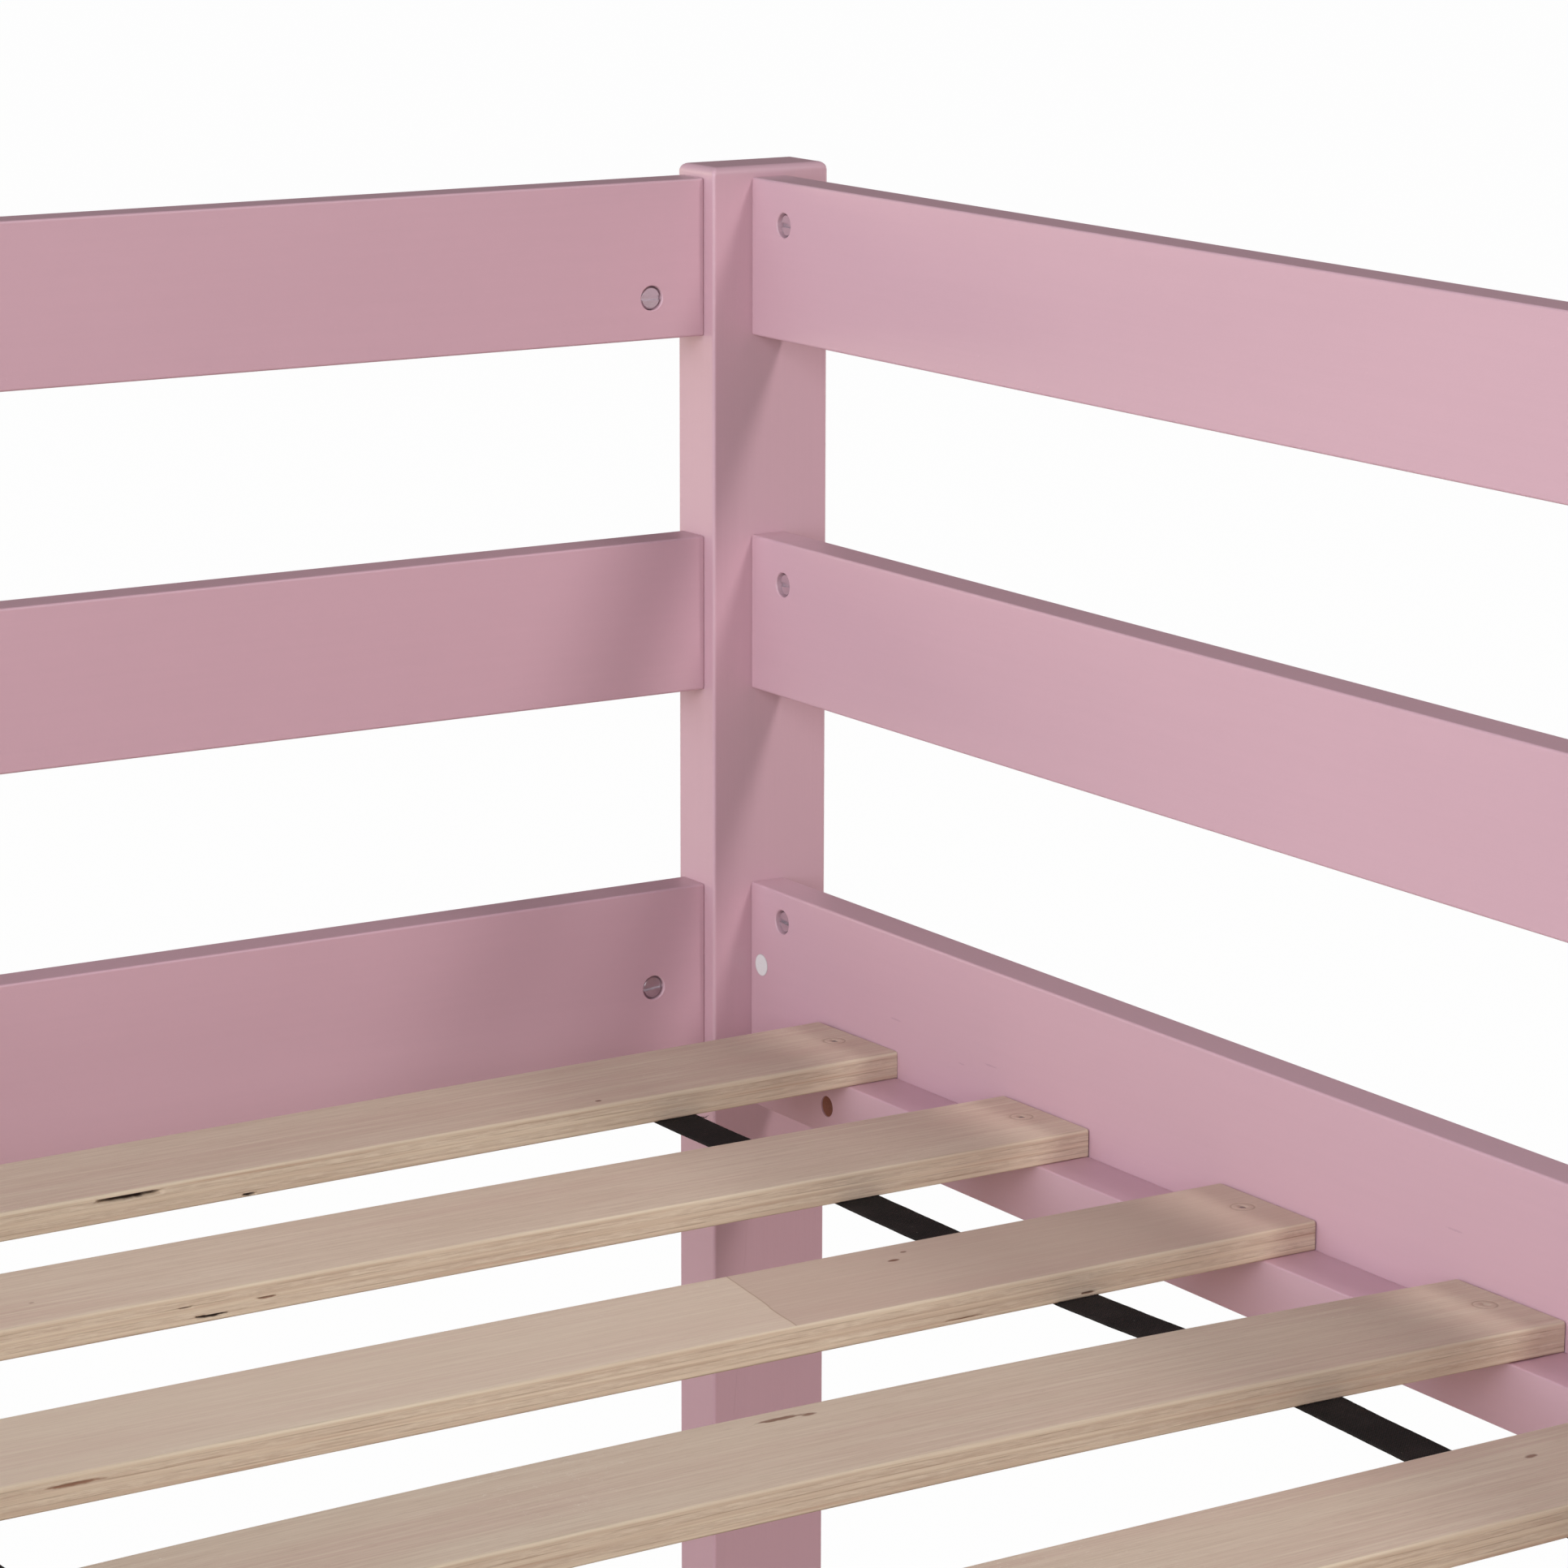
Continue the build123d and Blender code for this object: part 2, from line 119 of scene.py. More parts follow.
SHARP_ANGLE = math.radians(50)
STRAIGHT_SLAT = 9              # the slat with the least skew

# How far each slat bows up in the middle, along its head-side and foot-side edges, in millimetres.
BOWS = (
    (0.2, 0.2),
    (1.3, 0.9),
    (1.4, 0.0),
    (6.0, 4.4),
    (0.6, -0.4),
    (1.8, 1.2),
    (0.4, 1.0),
    (2.2, 2.6),
    (0.9, 0.3),
)
# Gaps in the plies on a slat's foot-side edge: slat, from its back end, below its top, half
# length, half height and depth, in millimetres.
VOIDS = (
    (1, 376, 2.9, 15.5, 0.75, 3.2),
    (1, 322, 10.9, 3.0, 0.55, 2.2),
    (2, 407, 9.7, 7.5, 0.50, 1.8),
    (2, 384, 6.7, 5.0, 0.30, 0.7),
    (2, 418, 4.8, 3.5, 0.30, 0.9),
    (3, 534, 4.1, 12.0, 0.60, 0.4),
    (3, 168, 10.2, 9.0, 0.22, 0.6),
    (3, 110, 10.3, 3.5, 0.3, 0.8),
    (5, 260, 5.1, 6.0, 0.3, 0.9),
    (6, 455, 7.2, 8.0, 0.4, 1.3),
    (7, 290, 9.5, 5.0, 0.3, 0.9),
    (8, 520, 4.7, 11.0, 0.5, 1.6),
    (9, 205, 7.1, 7.0, 0.35, 1.1),
)
# Brown knots and specks on the faces: slat, from its back end, off its middle towards the foot,
# half length, half width, depth of colour; millimetres and a share.
KNOTS = (
    (4, 311, -22.8, 10.5, 1.7, 0.85),
    (4, 300, -21.6, 3.6, 1.2, 0.8),
    (3, 169, -14.2, 3.0, 1.5, 0.95),
    (3, 160, -20.8, 1.7, 1.0, 0.75),
    (1, 151, 25.0, 1.8, 1.2, 0.95),
    (5, 106, -11.2, 3.4, 1.5, 0.8),
    (2, 470, 8.0, 1.4, 0.6, 0.6),
    (6, 350, 12.0, 5.0, 1.0, 0.7),
    (7, 520, -9.0, 3.0, 1.0, 0.7),
    (8, 180, 15.0, 7.0, 1.2, 0.8),
    (9, 420, -16.0, 2.4, 0.9, 0.7),
)
# Where two strips of veneer meet on a slat's top: slat, from its back end, slant per width.
JOINTS = ((3, 237.5, 0.13), (7, 431.0, -0.09))
# Faint rubs on the back bottom rail's inner face: from its head end, below its top, half length
# and half height, in millimetres.
RUBS = (
    (119.0, 37.8, 5.0, 0.5),
    (192.0, 41.7, 5.5, 0.5),
    (170.0, 46.0, 3.0, 0.4),
    (500.0, 34.0, 6.0, 0.5),
)
RUB_DEPTH = 4 * MM             # how far into the rail a rub's mark is kept

# ---- webbing ---------------------------------------------------------------------------------
WEBBING_SAG = 0.15 * MM        # between two slats, in the middle of the tape
WEBBING_CURL = 0.12 * MM       # more of it at the tape's edges
WEBBING_SLACK = 0.12 * MM      # and unevenly
WEBBING_STEP = 1.2 * MM        # between the rings of points along a tape
WEBBING_FINE_STEP = 1.0 * MM   # and across it
EDGE_SWAY = 0.30 * MM
EDGE_FRAY = 0.14 * MM
RIB_PITCH = 2.4 * MM
RIB_HEIGHT = 0.06 * MM
WEAVE_PITCH = 1.2 * MM
# Threads frayed out of the back tape's back edge: root from the tape's head end, in from the edge
# and below its top, then the steps along the thread, in millimetres.
THREADS = (
    ((74.1, 4.0, 0.7), ((2.2, 2.6, 0.4), (1.9, 2.0, 0.1), (0.9, 1.6, 0.9))),
    ((74.7, 3.5, 0.8), ((2.4, 1.9, -0.1), (1.5, 2.2, -0.5))),
    ((75.3, 3.2, 0.6), ((1.3, 1.7, 0.7), (2.0, 1.2, 0.3), (1.0, 1.3, -0.4))),
    ((73.2, 4.5, 0.6), ((0.9, 1.4, 0.3), (0.4, 1.1, 0.6))),
    ((855.6, 3.3, 0.8), ((1.2, 1.9, 0.2), (1.6, 0.9, 0.4))),
)
THREAD_RADIUS = 0.16 * MM
THREAD_SIDES = 5


# ---- shader helpers --------------------------------------------------------------------------
class Shader:
    """Builds one material: each call adds a node and gives back its output socket."""

    def __init__(self, name):
        self.material = bpy.data.materials.new(name)
        self.material.use_nodes = True
        self.tree = self.material.node_tree
        self.surface = self.tree.nodes["Principled BSDF"]

    def add(self, kind, output=0, inputs=None, **settings):
        made = self.tree.nodes.new(kind)
        for key, value in settings.items():
            setattr(made, key, value)
        for key, value in (inputs or {}).items():
            self.feed(made.inputs[key], value)
        return made.outputs[output]

    def feed(self, socket, value):
        if isinstance(value, bpy.types.NodeSocket):
            self.tree.links.new(value, socket)
        else:
            socket.default_value = value

    def set(self, **values):
        for key, value in values.items():
            self.feed(self.surface.inputs[key.replace("_", " ")], value)
        return self.material

    def place(self):
        return self.add("ShaderNodeTexCoord", "Object")

    def attribute(self, name):
        return self.add("ShaderNodeAttribute", "Vector", attribute_name=name)

    def stretch(self, vector, scale, shift=(0, 0, 0)):
        return self.add("ShaderNodeMapping", inputs={"Vector": vector, "Scale": scale, "Location": shift})

    def split(self, vector):
        made = self.tree.nodes.new("ShaderNodeSeparateXYZ")
        self.feed(made.inputs[0], vector)
        return made.outputs

    def math(self, operation, a, b=0.0, c=0.0):
        return self.add("ShaderNodeMath", inputs={0: a, 1: b, 2: c}, operation=operation)

    def span(self, a, b):
        """Length of the diagonal of a by b."""
        return self.math("SQRT", self.math("ADD", self.math("POWER", a, 2.0), self.math("POWER", b, 2.0)))

    def noise(self, vector, scale=1.0, detail=2.0, roughness=0.5, distortion=0.0):
        inputs = {"Vector": vector, "Scale": scale, "Detail": detail,
                  "Roughness": roughness, "Distortion": distortion}
        return self.add("ShaderNodeTexNoise", inputs=inputs)

    def step(self, value, start, end, low=0.0, high=1.0):
        """low before start, high after end, smooth between."""
        inputs = {"Value": value, "From Min": start, "From Max": end, "To Min": low, "To Max": high}
        return self.add("ShaderNodeMapRange", inputs=inputs, interpolation_type="SMOOTHSTEP")

    def mix(self, share, a, b, blend="MIX"):
        made = self.tree.nodes.new("ShaderNodeMix")
        made.data_type = "RGBA"
        made.blend_type = blend
        self.feed(made.inputs[0], share)
        self.feed(made.inputs[6], a)
        self.feed(made.inputs[7], b)
        return made.outputs[2]

    def shade(self, colour, factor):
        """colour times a grey factor."""
        grey = self.add("ShaderNodeCombineColor", inputs={0: factor, 1: factor, 2: factor})
        return self.mix(1.0, colour, grey, "MULTIPLY")

    def bump(self, height, distance, strength=1.0, normal=None):
        inputs = {"Height": height, "Distance": distance, "Strength": strength}
        if normal is not None:
            inputs["Normal"] = normal
        return self.add("ShaderNodeBump", inputs=inputs)

    def blot(self, place, centre, radii, ragged=0.0, rough=None):
        """1 inside an ellipsoid about centre, falling to 0 at its edge."""
        shift = tuple(-c / r for c, r in zip(centre, radii))
        scaled = self.stretch(place, tuple(1 / r for r in radii), shift)
        reach = self.add("ShaderNodeVectorMath", "Value", {0: scaled}, operation="LENGTH")
        if rough is not None:
            reach = self.math("MULTIPLY_ADD", rough, ragged, self.math("SUBTRACT", reach, ragged / 2))
        return self.step(reach, 0.55, 1.05, 1.0, 0.0)


# ---- materials -------------------------------------------------------------------------------
PAINT = rgb(0.612, 0.377, 0.437)
PAINT_PALE = rgb(0.665, 0.432, 0.490)
PAINT_RUBBED = rgb(0.40, 0.24, 0.29)
RAW_PINE = rgb(0.46, 0.19, 0.13)
SCREW_REACH = 9 * MM           # more than the width of a batten screw's head
BORE_REACH = 5 * MM            # just past the wall of its bore


def along_axis(axis, along, across):
    """Scale of a grain that runs along one axis."""
    return tuple(along if i == axis else across for i in range(3))


def satin_paint(name, axis):
    """Sprayed satin paint on wood whose grain runs along axis and just shows through."""
    s = Shader(name)
    place = s.place()
    grain = s.noise(s.stretch(place, along_axis(axis, 9, 330)), detail=3, roughness=0.6)
    clouds = s.noise(place, scale=7, detail=2)
    peel = s.noise(place, scale=620, detail=2, roughness=0.6)
    dust = s.add("ShaderNodeTexVoronoi", "Distance", {"Vector": place, "Scale": 85}, feature="F1")
    dust = s.step(dust, 0.035, 0.055, 1.0, 0.0)
    tone = s.math("MULTIPLY_ADD", clouds, 0.05, 0.96)
    tone = s.math("MULTIPLY_ADD", grain, 0.035, tone)
    colour = s.shade(PAINT, tone)
    colour = s.mix(s.math("MULTIPLY", dust, 0.18), colour, PAINT_PALE)
    gloss = s.math("MULTIPLY_ADD", clouds, 0.12, 0.33)
    gloss = s.math("MULTIPLY_ADD", peel, 0.06, gloss)
    relief = s.bump(grain, 0.00012, 0.5)
    relief = s.bump(peel, 0.00005, 0.6, relief)
    relief = s.bump(dust, 0.00008, 0.5, relief)
    return s, colour, gloss, relief, place


def paint(name, axis, scuffs=()):
    """Satin paint, rubbed darker and duller inside each scuff."""
    s, colour, gloss, relief, place = satin_paint(name, axis)
    worn = s.noise(place, scale=900, detail=2)
    for centre, radii in scuffs:
        mark = s.blot(place, centre, radii, 1.0, worn)
        colour = s.mix(s.math("MULTIPLY", mark, 0.30), colour, PAINT_RUBBED)
        gloss = s.math("MULTIPLY_ADD", mark, 0.2, gloss)
    return s.set(Base_Color=colour, Roughness=gloss, Normal=relief)


def rail_rubs(node):
    """Centres and radii of the rubs on a back rail."""
    low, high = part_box(node)
    rubs = []
    for from_head, below, half_length, half_height in RUBS:
        centre = (low.x + from_head * MM, low.y, high.z - below * MM)
        rubs.append((centre, (half_length * MM, RUB_DEPTH, half_height * MM)))
    return rubs


def ledger_paint(name, node):
    """Paint, with bare reddish wood inside the screw bores."""
    s, colour, gloss, relief, place = satin_paint(name, 0)
    low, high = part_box(node)
    face = low.y if low.y > 0 else high.y
    x, y, z = s.split(place)
    depth = s.math("SUBTRACT", s.math("ABSOLUTE", y), abs(face))
    inside = s.step(depth, 0.5 * MM, 0.9 * MM)
    off_height = s.math("SUBTRACT", z, (low.z + high.z) / 2)
    near = 0.0
    for bore_x in ledger_screw_places():
        off_length = s.math("SUBTRACT", x, bore_x)
        reach = s.span(off_length, off_height)
        near = s.math("MAXIMUM", near, s.math("LESS_THAN", reach, BORE_REACH))
    bare = s.math("MULTIPLY", inside, near)
    fibres = s.noise(s.stretch(place, (120, 2400, 2400)), detail=3)
    wood = s.shade(RAW_PINE, s.math("MULTIPLY_ADD", fibres, 0.8, 0.6))
    colour = s.mix(bare, colour, wood)
    gloss = s.math("MAXIMUM", gloss, s.math("MULTIPLY", bare, 0.85))
    return s.set(Base_Color=colour, Roughness=gloss, Normal=relief)


def ledger_screw_places():
    """The screws' places along the bed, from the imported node."""
    along = [vertex.co.x for vertex in nodes["ledger_screws"].data.vertices]
    places = []
    for x in along:
        if not any(abs(x - place) < SCREW_REACH for place in places):
            places.append(x)
    centres = []
    for place in places:
        near = [x for x in along if abs(x - place) < SCREW_REACH]
        centres.append((min(near) + max(near)) / 2)
    return sorted(centres)


def plywood(name, size):
    """Bare poplar plywood: straight veneer on the faces, banded plies on the edges."""
    width, length, thick = size
    s = Shader(name)
    place = s.attribute("grain")
    x, y, _ = s.split(place)
    streaks = s.noise(s.stretch(place, (420, 7.5, 420)), detail=4, roughness=0.62, distortion=0.25)
    fine = s.noise(s.stretch(place, (1900, 34, 1900)), detail=2)
    layers = s.noise(s.stretch(place, (9, 9, 800)), detail=3, roughness=0.6)
    speckle = s.noise(s.stretch(place, (1500, 150, 1100)), detail=2)

    face = veneer_face(s, place, streaks, fine)
    face = veneer_joints(s, place, face, length)
    edge, across_ply = ply_edge(s, place, layers, speckle, thick)
    on_edge = s.step(s.math("ABSOLUTE", x), width / 2 - 1.2 * MM, width / 2 - 0.5 * MM)
    colour = s.mix(on_edge, face, edge)
    colour = slat_blemishes(s, place, colour, size)
    colour = nail_ring_shade(s, place, colour, size)

    # a tone of its own for each slat
    own = s.add("ShaderNodeTexWhiteNoise", "Value", {"W": tag_number(s, y)}, noise_dimensions="1D")
    colour = s.shade(colour, s.math("MULTIPLY_ADD", own, 0.09, 0.955))

    rough = s.math("MULTIPLY_ADD", streaks, 0.2, 0.52)
    rough = s.math("MULTIPLY_ADD", on_edge, 0.15, rough)
    relief = s.bump(streaks, 0.0002, 0.55)
    relief = s.bump(fine, 0.00008, 0.5, relief)
    relief = s.bump(s.math("MULTIPLY", layers, on_edge), 0.0005, 0.5, relief)
    relief = s.bump(s.math("MULTIPLY", speckle, s.math("MULTIPLY", on_edge, across_ply)), 0.0003, 0.5, relief)
    s.set(Base_Color=colour, Roughness=rough, Normal=relief)
    s.surface.inputs["Specular IOR Level"].default_value = 0.35
    return s.material


def veneer_face(s, place, streaks, fine):
    """Broad figure, pale streaks, dark fibres and pores, and pale curls of loose fibre in patches."""
    figure = s.noise(s.stretch(place, (26, 2.2, 26)), detail=2, distortion=0.4)
    pores = s.step(s.noise(s.stretch(place, (3000, 130, 3000)), detail=1), 0.66, 0.74)
    face = s.mix(s.step(figure, 0.35, 0.68), rgb(0.690, 0.545, 0.425), rgb(0.655, 0.480, 0.385))
    face = s.mix(s.step(streaks, 0.38, 0.72), face, rgb(0.745, 0.610, 0.480))
    face = s.mix(s.math("MULTIPLY", s.step(fine, 0.42, 0.70), 0.34), face, rgb(0.520, 0.365, 0.270))
    face = s.mix(s.math("MULTIPLY", pores, 0.42), face, rgb(0.400, 0.260, 0.185))
    patch = s.step(s.noise(s.stretch(place, (14, 9, 14)), detail=1), 0.60, 0.68)
    curls = s.noise(s.stretch(place, (330, 210, 330)), detail=1, distortion=1.5)
    curls = s.step(s.math("ABSOLUTE", s.math("SUBTRACT", curls, 0.5)), 0.004, 0.010, 1, 0)
    kept = s.step(s.noise(s.stretch(place, (260, 260, 260)), detail=0), 0.52, 0.58)
    curls = s.math("MULTIPLY", s.math("MULTIPLY", curls, kept), patch)
    return s.mix(s.math("MULTIPLY", curls, 0.5), face, rgb(0.900, 0.830, 0.720))


def veneer_joints(s, place, face, length):
    """At a joint, one strip of veneer is a little pinker than the next."""
    x, y, _ = s.split(place)
    for slat, from_back, slant in JOINTS:
        middle = tag(slat) + length / 2 - from_back * MM
        line = s.math("MULTIPLY_ADD", x, slant, s.math("SUBTRACT", y, middle))
        wander = s.noise(s.stretch(place, (60, 20, 60)), detail=2)
        line = s.math("MULTIPLY_ADD", wander, 2.2 * MM, line)
        behind = s.math("MULTIPLY", s.step(line, 0.0, 0.4 * MM), s.math("LESS_THAN", line, 0.5))
        ahead = s.math("MULTIPLY", s.step(line, 0.0, 0.4 * MM, 1, 0), s.math("GREATER_THAN", line, -0.8))
        face = s.mix(s.math("MULTIPLY", behind, 0.55), face, rgb(0.560, 0.405, 0.330))
        face = s.mix(s.math("MULTIPLY", ahead, 0.35), face, rgb(0.770, 0.640, 0.510))
        seam = s.step(s.math("ABSOLUTE", line), 0.15 * MM, 0.5 * MM, 1, 0)
        face = s.mix(s.math("MULTIPLY", seam, 0.55), face, rgb(0.330, 0.190, 0.110))
    return face


def ply_edge(s, place, layers, speckle, thick):
    """A sawn edge's colour, and 1 on the plies whose grain the saw cut across."""
    _, _, z = s.split(place)
    wave = s.noise(s.stretch(place, (9, 9, 9)), detail=1)
    level = s.math("MULTIPLY_ADD", wave, 0.9 * MM, s.math("SUBTRACT", z, 0.45 * MM))
    ply = s.math("DIVIDE", level, thick / PLIES)
    across_ply = s.math("MODULO", s.math("FLOOR", ply), 2.0)
    rust = s.noise(s.stretch(place, (7, 7, 620)), detail=2)
    edge = s.mix(s.step(layers, 0.34, 0.66), rgb(0.615, 0.475, 0.355), rgb(0.735, 0.605, 0.460))
    edge = s.mix(s.math("MULTIPLY", s.step(rust, 0.58, 0.72), 0.5), edge, rgb(0.500, 0.315, 0.220))
    rough_ply = s.mix(s.step(speckle, 0.35, 0.7), rgb(0.545, 0.420, 0.320), rgb(0.735, 0.620, 0.490))
    edge = s.mix(s.math("MULTIPLY", across_ply, 0.38), edge, rough_ply)

    # glue lines, dark in broken stretches
    within = s.math("FRACT", ply)
    glue = s.math("MINIMUM", within, s.math("SUBTRACT", 1.0, within))
    glue = s.step(glue, 0.03, 0.13, 1.0, 0.0)
    broken = s.step(s.noise(s.stretch(place, (30, 30, 500)), detail=2), 0.42, 0.62)
    edge = s.mix(s.math("MULTIPLY", s.math("MULTIPLY", glue, broken), 0.42), edge, rgb(0.300, 0.190, 0.125))

    # the rounded top corner is paler and yellowish: partly veneer sanded through, partly a painted highlight
    # along the rounding
    sanded_and_highlight = s.step(z, thick - 1.9 * MM, thick - 0.7 * MM)
    edge = s.mix(s.math("MULTIPLY", sanded_and_highlight, 0.32), edge, rgb(0.765, 0.660, 0.490))
    return edge, across_ply


def slat_blemishes(s, place, colour, size):
    """Knots, specks, and the gaps in the plies: their brown wood, with painted shade that gets darker the
    deeper the gap.
    """
    width, length, thick = size
    ragged = s.noise(s.stretch(place, (900, 260, 900)), detail=2)
    for slat, from_back, off, half_length, half_width, depth in KNOTS:
        centre = (off * MM, tag(slat) + length / 2 - from_back * MM, thick)
        mark = s.blot(place, centre, (half_width * MM, half_length * MM, 4 * MM), 0.9, ragged)
        colour = s.mix(s.math("MULTIPLY", mark, depth), colour, rgb(0.200, 0.085, 0.048))
    for slat, from_back, below, half_length, half_height, deep in VOIDS:
        centre = (width / 2, tag(slat) + length / 2 - from_back * MM, thick - below * MM)
        radii = (6 * MM, half_length * MM * 1.05, half_height * MM * 1.35)
        mark = s.blot(place, centre, radii, 0.6, ragged)
        # painted shade: the deeper the gap, the darker and more strongly its inside is drawn
        hollow_shade = min(1.0, deep / 1.4)
        gap_wood_and_shade = rgb(0.30 - 0.25 * hollow_shade, 0.115 - 0.09 * hollow_shade, 0.055 - 0.035 * hollow_shade)
        colour = s.mix(s.math("MULTIPLY", mark, 0.75 + 0.2 * hollow_shade), colour, gap_wood_and_shade)
    return colour


def nail_ring_shade(s, place, colour, size):
    """Painted shade in the rings that the nail gun's nose dented round the nails: each dent is drawn darker.
    """
    _, length, thick = size
    x, y, z = s.split(place)
    along = s.math("MULTIPLY_ADD", tag_number(s, y), -SLAT_TAG, y)
    beyond = s.math("SUBTRACT", s.math("ABSOLUTE", along), length / 2 - nail_inset)
    off_ring = s.math("ABSOLUTE", s.math("SUBTRACT", s.span(x, beyond), RING_RADIUS))
    ring = s.step(off_ring, 0.2 * MM, 0.55 * MM, 1, 0)
    ring = s.math("MULTIPLY", ring, s.step(z, thick - 1.5 * MM, thick - 1.0 * MM))
    # painted shade: the dented ring round each nail is drawn darker
    return s.mix(s.math("MULTIPLY", ring, 0.45), colour, rgb(0.360, 0.225, 0.150))


def tag(slat):
    """The offset along the grain that tells a slat, from 1, from the others."""
    return slat * SLAT_TAG


def tag_number(s, y):
    """The number of the slat, from 1, that a place along the grain is on."""
    return s.math("ROUND", s.math("DIVIDE", y, SLAT_TAG))


def webbing_cloth(name):
    """Black polypropylene tape: ribs across, a fine twill over them, and pale lint."""
    s = Shader(name)
    place = s.place()
    x, y, z = s.split(place)
    diagonal = s.math("ADD", x, y)
    ribs = s.math("SINE", s.math("MULTIPLY", x, 2 * math.pi / WEAVE_PITCH))
    twill = s.math("SINE", s.math("MULTIPLY", diagonal, 2 * math.pi / (0.9 * WEAVE_PITCH)))
    fuzz = s.noise(place, scale=1500, detail=3)
    weave = s.math("MULTIPLY", s.math("ADD", s.math("ADD", ribs, twill), 2.0), 0.25)
    lint = s.step(s.noise(s.stretch(place, (260, 700, 260)), detail=3, roughness=0.7), 0.68, 0.74)
    worn = s.noise(place, scale=60, detail=3)
    colour = s.mix(weave, rgb(0.008, 0.0065, 0.006), rgb(0.030, 0.024, 0.022))
    colour = s.mix(s.math("MULTIPLY", s.step(worn, 0.4, 0.75), 0.5), colour, rgb(0.040, 0.030, 0.028))
    colour = s.mix(s.math("MULTIPLY", lint, 0.35), colour, rgb(0.230, 0.190, 0.170))
    relief = s.bump(weave, 0.00025, 0.8)
    relief = s.bump(fuzz, 0.0002, 0.6, relief)
    s.set(Base_Color=colour, Roughness=0.9, Normal=relief)
    s.surface.inputs["Specular IOR Level"].default_value = 0.15
    return s.material


def zinc(name, bright, tone):
    """Bright zinc plate: faint turning marks, cloudy passivation and fine scratches."""
    s = Shader(name)
    place = s.place()
    clouds = s.noise(place, scale=420, detail=3)
    marks = s.noise(s.stretch(place, (700, 700, 2600)), detail=2)
    scratches = s.step(s.noise(s.stretch(place, (3000, 500, 3000)), detail=1), 0.64, 0.7)
    colour = s.mix(clouds, rgb(*(0.82 * t for t in tone)), rgb(*tone))
    colour = s.mix(s.math("MULTIPLY", scratches, 0.2), colour, rgb(0.9, 0.9, 0.92))
    rough = s.math("MULTIPLY_ADD", clouds, 0.16, bright)
    relief = s.bump(marks, 0.00002, 0.4)
    s.set(Base_Color=colour, Roughness=rough, Normal=relief)
    s.surface.inputs["Metallic"].default_value = 1.0
    return s.material


def beech(name):
    """Pale dowel wood, in fine flecks along the peg."""
    s = Shader(name)
    place = s.place()
    flecks = s.noise(s.stretch(place, (700, 700, 2600)), detail=3)
    colour = s.mix(flecks, rgb(0.55, 0.36, 0.22), rgb(0.74, 0.55, 0.37))
    relief = s.bump(flecks, 0.0002, 0.6)
    return s.set(Base_Color=colour, Roughness=0.7, Normal=relief)


def glide_plastic(name):
    """White moulded polyethylene, a little scuffed underneath."""
    s = Shader(name)
    place = s.place()
    grain = s.noise(place, scale=2200, detail=2)
    scuffs = s.step(s.noise(s.stretch(place, (90, 700, 90)), detail=4, roughness=0.7), 0.5, 0.75)
    colour = s.mix(s.math("MULTIPLY", scuffs, 0.5), rgb(0.74, 0.73, 0.70), rgb(0.50, 0.48, 0.45))
    rough = s.math("MULTIPLY_ADD", scuffs, 0.25, 0.38)
    relief = s.bump(grain, 0.00006, 0.5)
    return s.set(Base_Color=colour, Roughness=rough, Normal=relief)


def label_vinyl(name):
    """A blank white sticker with a slightly fibrous face and a greyed edge."""
    s = Shader(name)
    place = s.place()
    low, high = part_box("part_label")
    fibre = s.noise(s.stretch(place, (1800, 1800, 1100)), detail=3)
    centre = s.stretch(place, (1, 0, 1), (-(low.x + high.x) / 2, 0, -(low.z + high.z) / 2))
    reach = s.add("ShaderNodeVectorMath", "Value", {0: centre}, operation="LENGTH")
    radius = (high.x - low.x) / 2
    rim = s.step(reach, radius - 0.5 * MM, radius)
    colour = s.mix(fibre, rgb(0.74, 0.72, 0.72), rgb(0.84, 0.83, 0.83))
    colour = s.mix(s.math("MULTIPLY", rim, 0.6), colour, rgb(0.52, 0.46, 0.47))
    relief = s.bump(fibre, 0.00004, 0.5)
    return s.set(Base_Color=colour, Roughness=0.42, Normal=relief)


def pale_floor(name):
    """Seamless white studio floor that looks evenly lit, with only a breath of shadow on it."""
    s = Shader(name)
    place = s.place()
    mottle = s.noise(place, scale=3, detail=2)
    colour = s.shade(FLOOR_BOUNCE, s.math("MULTIPLY_ADD", mottle, 0.02, 0.98))
    s.set(Base_Color=colour, Roughness=0.9)
    s.surface.inputs["Specular IOR Level"].default_value = 0.0
    white = s.add("ShaderNodeEmission", inputs={"Color": rgb(1, 1, 1), "Strength": 1.0})
    shown = s.add("ShaderNodeLightPath", "Is Camera Ray")
    x, y, _ = s.split(place)
    past_end = s.math("SUBTRACT", s.math("ABSOLUTE", x), cad_high.x)
    past_side = s.math("SUBTRACT", s.math("ABSOLUTE", y), cad_high.y)
    under = s.step(s.math("MAXIMUM", past_end, past_side), -0.12, 0.04, FLOOR_SHADE, 0.0)
    share = s.math("MULTIPLY", shown, s.math("SUBTRACT", FLOOR_SHOWN, under))
    both = s.add("ShaderNodeMixShader", inputs={0: share, 1: s.surface.outputs[0], 2: white})
    s.feed(s.tree.nodes["Material Output"].inputs["Surface"], both)
    return s.material


# ---- mesh helpers ----------------------------------------------------------------------------
def make_piece(name, points, faces, material, node=None):
    """A smooth-shaded mesh piece that rides on the frame and stands for a CAD node."""
    mesh = bpy.data.meshes.new(name)
    mesh.from_pydata(points, [], faces)
    mesh.validate()
    mesh.materials.append(material)
    mesh.shade_smooth()
    piece = bpy.data.objects.new(name, mesh)
    bpy.context.scene.collection.objects.link(piece)
    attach(piece, "root")
    if node:
        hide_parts(node)
    return piece


